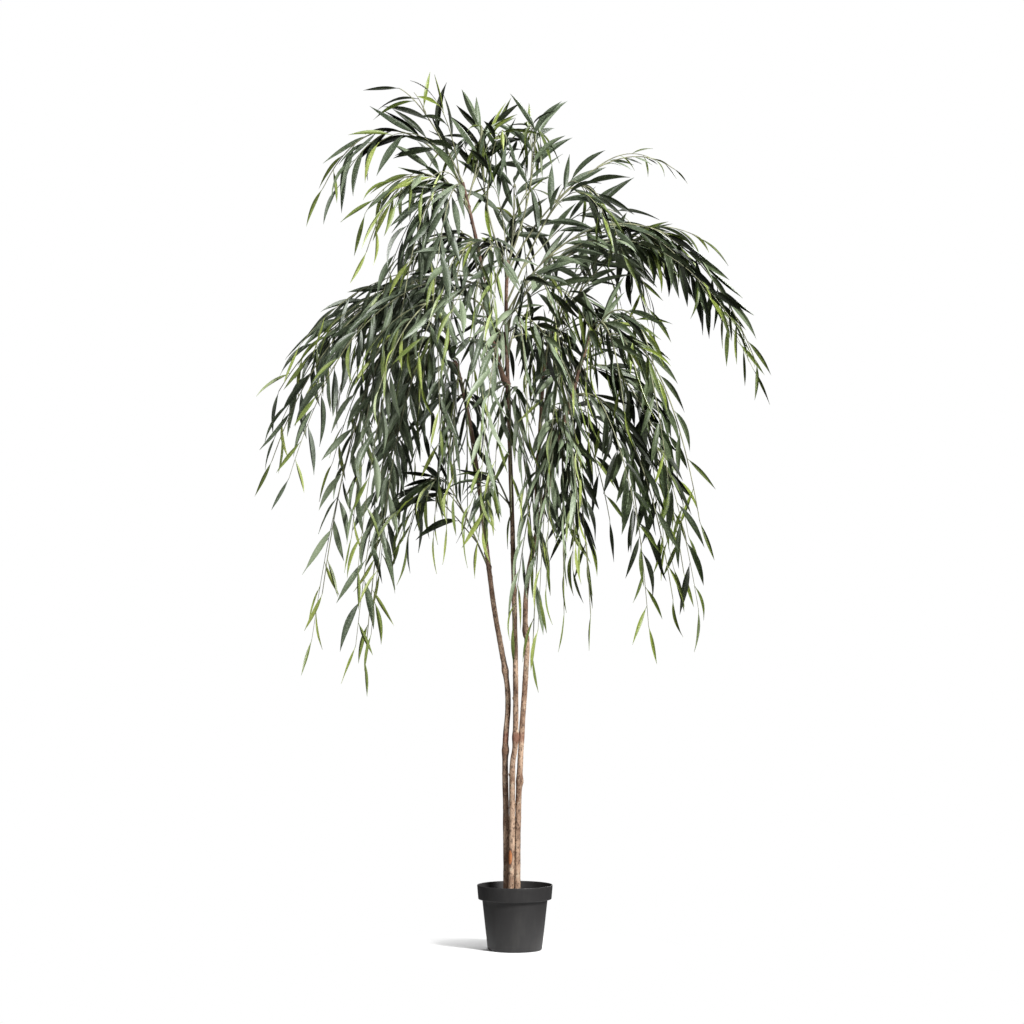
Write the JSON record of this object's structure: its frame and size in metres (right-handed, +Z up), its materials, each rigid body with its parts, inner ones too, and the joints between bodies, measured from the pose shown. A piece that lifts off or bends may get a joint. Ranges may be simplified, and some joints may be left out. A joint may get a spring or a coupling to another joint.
{
  "type": "artificial weeping willow tree in a pot",
  "caption": "Artificial weeping willow tree: natural wood stems rise from a small dark plastic pot and carry an airy, drooping crown of narrow cloth leaves.",
  "frame": {"origin": "middle of the pot's flat underside, on the floor", "axes": "+Z up along the pot's axis to the top of the crown, -Y towards the viewer of the tree's front, +X to that viewer's right"},
  "size_m": [1.1065, 0.7246, 1.7897],
  "materials": {
    "pot_plastic": "satin moulded plastic, dark grey",
    "cement": "rough dark cement",
    "bark": "dry natural bark, grey brown",
    "foliage": "printed cloth leaves, dark green with paler backs and olive tips"
  },
  "bodies": {
    "root": {"pot": "pot_plastic", "pot_fill": "cement", "stem_left": "bark", "stem_middle": "bark", "stem_right": "bark", "bough_top_left": "bark", "bough_right_inner": "bark", "foliage_top_left_high": "foliage", "foliage_top_left_low": "foliage", "foliage_top_left_tuft": "foliage", "foliage_top_left_pale": "foliage", "foliage_top_left_hang": "foliage", "foliage_top_left_back": "foliage", "foliage_front_left_high": "foliage", "foliage_crown_tuft_left": "foliage", "foliage_crown_tuft_right": "foliage", "foliage_crown_front": "foliage", "foliage_crown_back": "foliage", "foliage_shoulder_right": "foliage", "foliage_shoulder_olive": "foliage", "foliage_wisp_right": "foliage", "foliage_arm_right": "foliage", "foliage_arm_right_high": "foliage", "foliage_arm_right_back": "foliage", "foliage_right_middle": "foliage", "foliage_right_front": "foliage", "foliage_right_edge": "foliage", "foliage_right_edge_low": "foliage", "foliage_right_low": "foliage", "foliage_right_inner_low": "foliage", "foliage_right_hang": "foliage", "foliage_right_back": "foliage", "foliage_right_back_low": "foliage", "foliage_centre_front": "foliage", "foliage_centre_pale": "foliage", "foliage_centre_back": "foliage", "foliage_centre_inner": "foliage", "foliage_centre_high": "foliage", "foliage_centre_right_front": "foliage", "foliage_left_high": "foliage", "foliage_left_arm": "foliage", "foliage_left_arm_front": "foliage", "foliage_left_hang": "foliage", "foliage_left_low": "foliage", "foliage_left_front": "foliage", "foliage_left_back": "foliage", "foliage_left_back_low": "foliage", "foliage_left_inner": "foliage", "foliage_left_stem_twig": "foliage", "foliage_left_thin": "foliage", "foliage_middle_twig": "foliage", "foliage_centre_veil": "foliage", "foliage_centre_gap": "foliage", "foliage_crown_leader": "foliage"}
  },
  "joints": []
}
